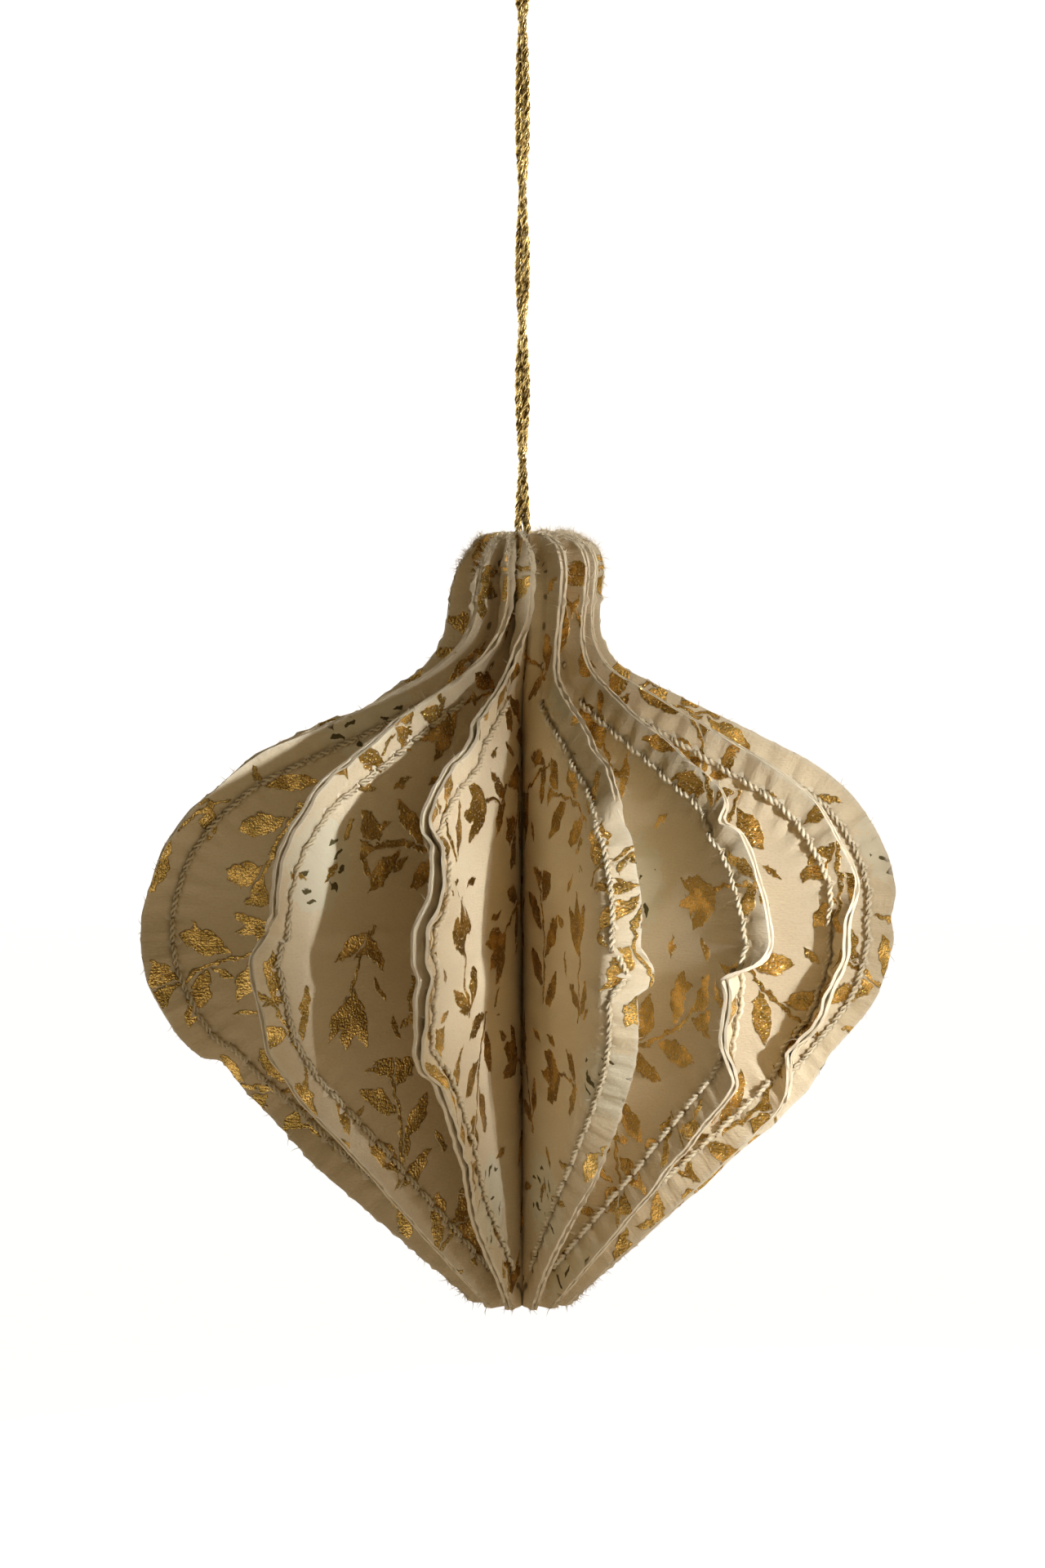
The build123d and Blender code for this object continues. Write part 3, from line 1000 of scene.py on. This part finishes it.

# %% [markdown]
# ## Stitches
# A coarse machine seam runs along every rim, a few millimetres in, with one thread on each face.
# Hundreds of equal stitches are a job for Geometry Nodes: one small two-ply stitch is modelled, and
# the tree puts a copy on each point of a seam, turned by the directions stored on that point. A UV
# map stores how high the thread stands, so that its low parts get painted shade.

# %% One stitch
STITCH_STEPS = 12
STITCH_SIDES = 3
PLY_RADIUS = 0.29
PLY_TURNS = 1.8
PLY_ASIDE, PLY_ABOVE = 0.23, 0.19
STITCH_LIFT, STITCH_DIP = 0.27, 0.55
STITCH_REACH, END_THINNING = 0.47, 0.35
SHADE_FROM, SHADE_OVER = -0.15, 0.55
COTTON, COTTON_SHADE, COTTON_PAINTED_SHADE = (0.87, 0.80, 0.63), (0.74, 0.65, 0.46), (0.38, 0.29, 0.165)
thread, wire, shader = new_material("cream_thread")
lint = wire.node("ShaderNodeTexCoord", None, None, "Object").noise(2600.0, 2.0)
painted_shade_height, _, _ = wire.node("ShaderNodeUVMap", {"uv_map": "painted_shade_height"}).parts()
cotton = lint.ramp(0.3, 0.7).mix(COTTON_SHADE, COTTON)
bump = wire.node("ShaderNodeBump", None, {"Strength": 0.5, "Distance": 0.0001, "Height": lint})
feed(
    shader,
    # painted shade where the thread lies low
    Base_Color=painted_shade_height.mix(COTTON_PAINTED_SHADE, cotton),
    Roughness=0.7,
    Specular_IOR_Level=0.3,
    Normal=bump,
)


def stitch_shape():
    """Two plies twisted round each other, arched so that both ends dip into their holes."""
    points, faces = [], []
    reach = np.linspace(-1, 1, STITCH_STEPS + 1)
    for ply in (0, math.pi):
        first = len(points)
        for place_along in reach:
            turn = ply + place_along * PLY_TURNS * math.pi
            thin = 1 - END_THINNING * place_along ** 6
            middle = np.array([
                place_along * STITCH_PITCH * STITCH_REACH,
                PLY_ASIDE * math.cos(turn),
                STITCH_LIFT - STITCH_DIP * place_along ** 4 + PLY_ABOVE * math.sin(turn),
            ])
            for side in range(STITCH_SIDES):
                round_ply = (side + 0.5) * 2 * math.pi / STITCH_SIDES
                outward = np.array([0, math.cos(round_ply), math.sin(round_ply)])
                points.append(middle + PLY_RADIUS * thin * outward)
        faces += tube_faces(first, STITCH_STEPS + 1, STITCH_SIDES)
    piece = mesh_object("one_stitch", points, faces, thread)
    # how high each point stands, for painted shade on the low parts
    height = np.array(points)[:, 2]
    painted_shade_height = np.clip((height - SHADE_FROM) / SHADE_OVER, 0, 1)
    set_uv(piece.data, "painted_shade_height", np.stack([painted_shade_height, 0 * height], axis=1))
    return piece


one_stitch = stitch_shape()
print("faces in a stitch", len(one_stitch.data.polygons))

# %% Points along the seams
SEAM_REST = 2.5
PROBE_ALONG, PROBE_ACROSS = 1.2, 0.5


def seam_points():
    """Middle of each stitch, with its direction and the way that its paper faces."""
    found = []
    count = int((rim_along[-1] - SEAM_REST - FIRST_HOLE) / STITCH_PITCH)
    middles = FIRST_HOLE + (np.arange(count) + 0.5) * STITCH_PITCH
    middles = middles[on_rim(HEIGHTS, middles) < SEAM_TOP]
    for index in range(len(fins)):
        for side in (1, -1):
            before, after = [
                near_rim(index, side, middles + step, SEAM_INSET) for step in (-PROBE_ALONG, PROBE_ALONG)
            ]
            outer, inner = [
                near_rim(index, side, middles, SEAM_INSET + step) for step in (-PROBE_ACROSS, PROBE_ACROSS)
            ]
            forward = unit(after - before)
            outward = unit(np.cross(inner - outer, forward)) * side
            found.append((near_rim(index, side, middles, SEAM_INSET), forward, outward))
    return [np.concatenate(column) for column in zip(*found)]


def point_mesh(name, points, **vectors):
    """A mesh of loose points that carry vectors."""
    mesh = bpy.data.meshes.new(name)
    mesh.from_pydata((points * MM).tolist(), [], [])
    for key, values in vectors.items():
        layer = mesh.attributes.new(key, "FLOAT_VECTOR", "POINT")
        layer.data.foreach_set("vector", values.astype(np.float32).ravel())
    carrier = bpy.data.objects.new(name, mesh)
    bpy.context.collection.objects.link(carrier)
    return carrier


stitch_spots, stitch_forward, stitch_outward = seam_points()
print("stitches", len(stitch_spots))

# %% Node tree that sews
def new_tree(name, inputs):
    """A geometry tree with a geometry socket, named inputs and both end nodes."""
    tree = bpy.data.node_groups.new(name, "GeometryNodeTree")
    tree.interface.new_socket("Geometry", in_out="INPUT", socket_type="NodeSocketGeometry")
    tree.interface.new_socket("Geometry", in_out="OUTPUT", socket_type="NodeSocketGeometry")
    for label, kind in inputs.items():
        tree.interface.new_socket(label, in_out="INPUT", socket_type="NodeSocket" + kind)
    start, end = tree.nodes.new("NodeGroupInput"), tree.nodes.new("NodeGroupOutput")
    return tree, Wire(tree), {socket.name: Wire(tree, socket) for socket in start.outputs}, end


def grown(name, carrier, tree, values):
    """Runs a tree on its carrier with these inputs and returns the result as a plain piece."""
    modifier = carrier.modifiers.new(name, "NODES")
    modifier.node_group = tree
    for item in tree.interface.items_tree:
        if item.in_out == "INPUT" and item.name in values:
            modifier[item.identifier] = values[item.name]
    depsgraph = bpy.context.evaluated_depsgraph_get()
    mesh = bpy.data.meshes.new_from_object(carrier.evaluated_get(depsgraph))
    mesh.name = name
    carrier.modifiers.remove(modifier)
    bpy.data.objects.remove(carrier)
    mesh.shade_smooth()
    piece = bpy.data.objects.new(name, mesh)
    bpy.context.collection.objects.link(piece)
    return piece


def stored(wire, key):
    """A vector that the points of a carrier hold."""
    return wire.node("GeometryNodeInputNamedAttribute", {"data_type": "FLOAT_VECTOR"}, {"Name": key})


def closing(wire, end, instances, material):
    """Ends a tree: real geometry with its material."""
    real = wire.node("GeometryNodeRealizeInstances", None, {0: instances})
    done = wire.node("GeometryNodeSetMaterial", None, {"Geometry": real, "Material": material})
    wire.tree.links.new(done.socket, end.inputs[0])


sewing, wire, given, end = new_tree("sewing", {"Stitch": "Object", "Size": "Float", "Thread": "Material"})
turn = wire.node("FunctionNodeAlignRotationToVector", {"axis": "Z"}, {"Vector": stored(wire, "outward")})
turn = wire.node("FunctionNodeAlignRotationToVector", {"axis": "X", "pivot_axis": "Z"}, {
    "Rotation": turn, "Vector": stored(wire, "forward"),
})
shape = wire.node("GeometryNodeObjectInfo", None, {"Object": given["Stitch"]}, "Geometry")
copies = wire.node("GeometryNodeInstanceOnPoints", None, {
    "Points": given["Geometry"], "Instance": shape, "Rotation": turn, "Scale": given["Size"],
})
closing(wire, end, copies, given["Thread"])
print("nodes in the sewing tree", len(sewing.nodes))

# %% Sew all the seams
carrier = point_mesh("seam_points", stitch_spots, forward=stitch_forward, outward=stitch_outward)
stitches = grown("seam_stitches", carrier, sewing, {"Stitch": one_stitch, "Size": 1.0, "Thread": thread})
bpy.data.objects.remove(one_stitch)
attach(stitches, "root")
print("stitch faces", len(stitches.data.polygons))

# %% [markdown]
# ## Paper fluff
# Torn cotton paper grows fine hairs at its cut edges, most of all round the top of the neck and at
# the tip. Geometry Nodes scatter short bent hairs along the rims: a few everywhere, more at the
# two ends.

# %% One hair
HAIR_STEPS, HAIR_SIDES = 4, 3
HAIR_RADIUS, HAIR_BEND, HAIR_TILT = 0.05, 0.35, 1.5
HAIR_THINNING = 0.8


def hair_shape():
    """A bent hair that thins out towards its end, one unit long."""
    points = []
    for part in np.linspace(0, 1, HAIR_STEPS + 1):
        thick = HAIR_RADIUS * (1 - HAIR_THINNING * part)
        for side in range(HAIR_SIDES):
            angle = side * 2 * math.pi / HAIR_SIDES
            points.append((thick * math.cos(angle) + HAIR_BEND * part ** 2, thick * math.sin(angle), part))
    return mesh_object("one_hair", points, tube_faces(0, HAIR_STEPS + 1, HAIR_SIDES), plain)


one_hair = hair_shape()
print("faces in a hair", len(one_hair.data.polygons))

# %% Node tree that grows hairs
fluffing, wire, given, end = new_tree("fluffing", {
    "Hair": "Object", "Shortest": "Float", "Longest": "Float", "Seed": "Int", "Paper": "Material",
})
spin = wire.node("FunctionNodeRandomValue", {"data_type": "FLOAT_VECTOR"}, {
    0: (-HAIR_TILT, -HAIR_TILT, -3.14), 1: (HAIR_TILT, HAIR_TILT, 3.14), "Seed": given["Seed"],
})
turn = wire.node("FunctionNodeAlignRotationToVector", {"axis": "Z"}, {"Vector": stored(wire, "outward")})
turn = wire.node("FunctionNodeRotateRotation", {"rotation_space": "LOCAL"}, {
    "Rotation": turn, "Rotate By": spin,
})
size = wire.node("FunctionNodeRandomValue", None, {
    2: given["Shortest"], 3: given["Longest"], "Seed": given["Seed"],
}, 1)
shape = wire.node("GeometryNodeObjectInfo", None, {"Object": given["Hair"]}, "Geometry")
copies = wire.node("GeometryNodeInstanceOnPoints", None, {
    "Points": given["Geometry"], "Instance": shape, "Rotation": turn, "Scale": size,
})
closing(wire, end, copies, given["Paper"])
print("nodes in the fluffing tree", len(fluffing.nodes))

# %% Grow the fluff
HAIR_SEED, TREE_SEED = 5, 3
HAIRS_ANYWHERE = 46
HAIRS_ON_NECK, NECK_SPREAD = 90, 4
HAIRS_AT_TIP, TIP_SPREAD = 30, 3
HAIR_ROOT, HAIR_PROBE = 0.06, 0.5
SHORTEST, LONGEST = 0.3, 1.3


def rim_spots(draw):
    """Places along the rims where hairs stand, crowded at both ends, with the way outwards."""
    found = []
    end = rim_along[-1]
    for index in range(len(fins)):
        for side in (1, -1):
            on_neck = end - np.abs(draw.normal(0, NECK_SPREAD, HAIRS_ON_NECK))
            anywhere = draw.uniform(0, end, HAIRS_ANYWHERE)
            at_tip = np.abs(draw.normal(0, TIP_SPREAD, HAIRS_AT_TIP))
            along = np.clip(np.concatenate([anywhere, on_neck, at_tip]), 0.05, end - 0.05)
            root, inner = [near_rim(index, side, along, depth) for depth in (HAIR_ROOT, HAIR_PROBE)]
            found.append((root, unit(root - inner)))
    return [np.concatenate(column) for column in zip(*found)]


hair_spots, hair_outward = rim_spots(np.random.default_rng(HAIR_SEED))
carrier = point_mesh("hair_points", hair_spots, outward=hair_outward)
fluff = grown("paper_fluff", carrier, fluffing, {
    "Hair": one_hair, "Shortest": SHORTEST, "Longest": LONGEST, "Seed": TREE_SEED, "Paper": plain,
})
bpy.data.objects.remove(one_hair)
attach(fluff, "root")
print("fluff faces", len(fluff.data.polygons))

# %% [markdown]
# ## Light and background
# Light comes low from the front right and falls past the front fins, so some faces are bright and
# others stay in deep shade. One broad lamp would light too much of them, so two narrow soft beams
# stand in for it, one on the middle and one on the right, and a third one is for cord and neck.
# Two weak broad lamps light the far side and the left side for other views. The world adds a warm
# fill that fades towards the left, and a glow of its own for reflections, because foil shows what
# it mirrors. The backdrop and the floor look white to the camera, but light the paper only as a
# pale surface would.

# %% Lamps
LAMP_DISTANCE = 0.8
BEAM_SPREAD, BEAM_RISE = 3, 9
BROAD = (0.5, 0.5)
BROAD_SPREAD = 60


def direction(azimuth, elevation):
    """Unit vector towards a place round the ornament, in degrees from the front and upwards."""
    azimuth, elevation = math.radians(azimuth), math.radians(elevation)
    level = math.cos(elevation)
    return np.array([math.sin(azimuth) * level, -math.cos(azimuth) * level, math.sin(elevation)])


def hang_lamp(name, shape, sizes, spread, energy, azimuth, rise, centre, roll=0):
    """An area lamp at a distance from a point that it faces, rolled about its own line of sight."""
    data = bpy.data.lights.new(name, "AREA")
    data.shape = shape
    data.size, data.size_y = sizes
    data.spread = math.radians(spread)
    data.energy = energy
    lamp = bpy.data.objects.new(name, data)
    lamp.location = np.array(centre) + LAMP_DISTANCE * direction(azimuth, rise)
    facing = Euler((math.radians(90 - rise), 0, math.radians(azimuth))).to_matrix()
    lamp.rotation_euler = (facing @ Matrix.Rotation(math.radians(roll), 3, "Z")).to_euler()
    lamp.visible_camera = False
    bpy.context.collection.objects.link(lamp)


def beam(name, azimuth, aside, height, sizes, energy, roll=0):
    """A narrow soft beam from the front right that passes the axis at a distance to its right."""
    centre = aside * direction(azimuth + 90, 0) + [0, 0, height]
    hang_lamp(name, "RECTANGLE", sizes, BEAM_SPREAD, energy, azimuth, BEAM_RISE, centre, roll)


beam(
    "middle_lamp", azimuth=38, aside=-0.0255, height=-0.130, sizes=(0.030, 0.062), energy=0.0050, roll=26,
)
beam("right_lamp", azimuth=34, aside=0.0150, height=-0.146, sizes=(0.040, 0.058), energy=0.0104)
beam("cord_lamp", azimuth=40, aside=0.004, height=-0.051, sizes=(0.02, 0.09), energy=0.0060)
for name, energy, azimuth, rise in (("far_side_lamp", 0.8, 170, 12), ("left_side_lamp", 0.28, 226, 8)):
    hang_lamp(name, "DISK", BROAD, BROAD_SPREAD, energy, azimuth, rise, (0, 0, VIEW_CENTRE))
print("lamps", len(bpy.data.lights))

# %% World
FILL_DARK, FILL = (0.03, 0.022, 0.011), (0.56, 0.425, 0.245)
SHINE_DARK, SHINE, SHINE_WINDOW = (0.07, 0.055, 0.035), (0.55, 0.50, 0.42), (2.0, 1.85, 1.6)
SHINE_BEHIND = (1.0, 0.70, 0.34)
world = bpy.data.worlds.new("dim_room")
bpy.context.scene.world = world
world.use_nodes = True
wire = Wire(world.node_tree)


def toward(azimuth):
    """1 where a ray goes to an azimuth, 0 square to it and -1 away from it."""
    dot = wire.node("ShaderNodeTexCoord").vector("DOT_PRODUCT", tuple(direction(azimuth, 10)))
    return Wire(world.node_tree, dot.socket.node.outputs["Value"])


to_right = toward(75)
fill = to_right.ramp(-0.05, 1).mix(FILL_DARK, FILL)
shine = to_right.ramp(0.42, 0.85).mix(SHINE_DARK, SHINE)
shine = to_right.ramp(0.78, 0.92).mix(shine, SHINE_WINDOW)
shine = toward(-140).ramp(0.55, 0.85).mix(shine, SHINE_BEHIND)
mirrored = wire.node("ShaderNodeLightPath", None, None, "Is Glossy Ray")
glow = mirrored.mix(fill, shine)
seen = wire.node("ShaderNodeLightPath", None, None, "Is Camera Ray")
glow = seen.mix(glow, (1, 1, 1))
world.node_tree.links.new(glow.socket, world.node_tree.nodes["Background"].inputs["Color"])
print("world:", world.name)

# %% Backdrop and floor
def stage_piece(name, corners, white, bounce):
    """A flat piece of the stage that looks white and keeps a soft shadow."""
    material, wire, shader = new_material(name)
    tree = wire.tree
    path = wire.node("ShaderNodeLightPath")
    seen = [Wire(tree, path.socket.node.outputs[kind])
            for kind in ("Is Camera Ray", "Is Glossy Ray", "Is Transmission Ray")]
    bright = seen[0].most(seen[1]).most(seen[2])
    feed(shader, Base_Color=(0.5, 0.5, 0.5, 1), Roughness=1.0, Emission_Strength=1.0)
    feed(shader, Emission_Color=bright.mix(bounce, (white, white, white)))
    piece = mesh_object(name, np.array(corners) / MM, [(0, 1, 2, 3)], material)


FLOOR_LEVEL, BACKDROP_TOP = -0.32, 2
STAGE_SIDE, STAGE_FRONT, STAGE_BACK = 3, -1.2, 1.6
FLOOR_WHITE, FLOOR_BOUNCE = 0.93, (0.25, 0.185, 0.11)
BACKDROP_WHITE, NO_BOUNCE = 0.95, (0, 0, 0)
near = [(-STAGE_SIDE, STAGE_FRONT, FLOOR_LEVEL), (STAGE_SIDE, STAGE_FRONT, FLOOR_LEVEL)]
far = [(STAGE_SIDE, STAGE_BACK, FLOOR_LEVEL), (-STAGE_SIDE, STAGE_BACK, FLOOR_LEVEL)]
above = [(x, y, BACKDROP_TOP) for x, y, _ in far]
stage_piece("floor", near + far, FLOOR_WHITE, FLOOR_BOUNCE)
stage_piece("backdrop", far[::-1] + above, BACKDROP_WHITE, NO_BOUNCE)
bpy.context.scene.view_settings.view_transform = "Standard"
print("backdrop and floor are set")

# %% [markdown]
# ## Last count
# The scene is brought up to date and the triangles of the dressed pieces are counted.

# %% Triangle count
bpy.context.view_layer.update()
triangles = sum(len(piece.data.polygons) * 2 for piece in sheets + [cord, knot, stitches, fluff])
print("about", triangles, "triangles")
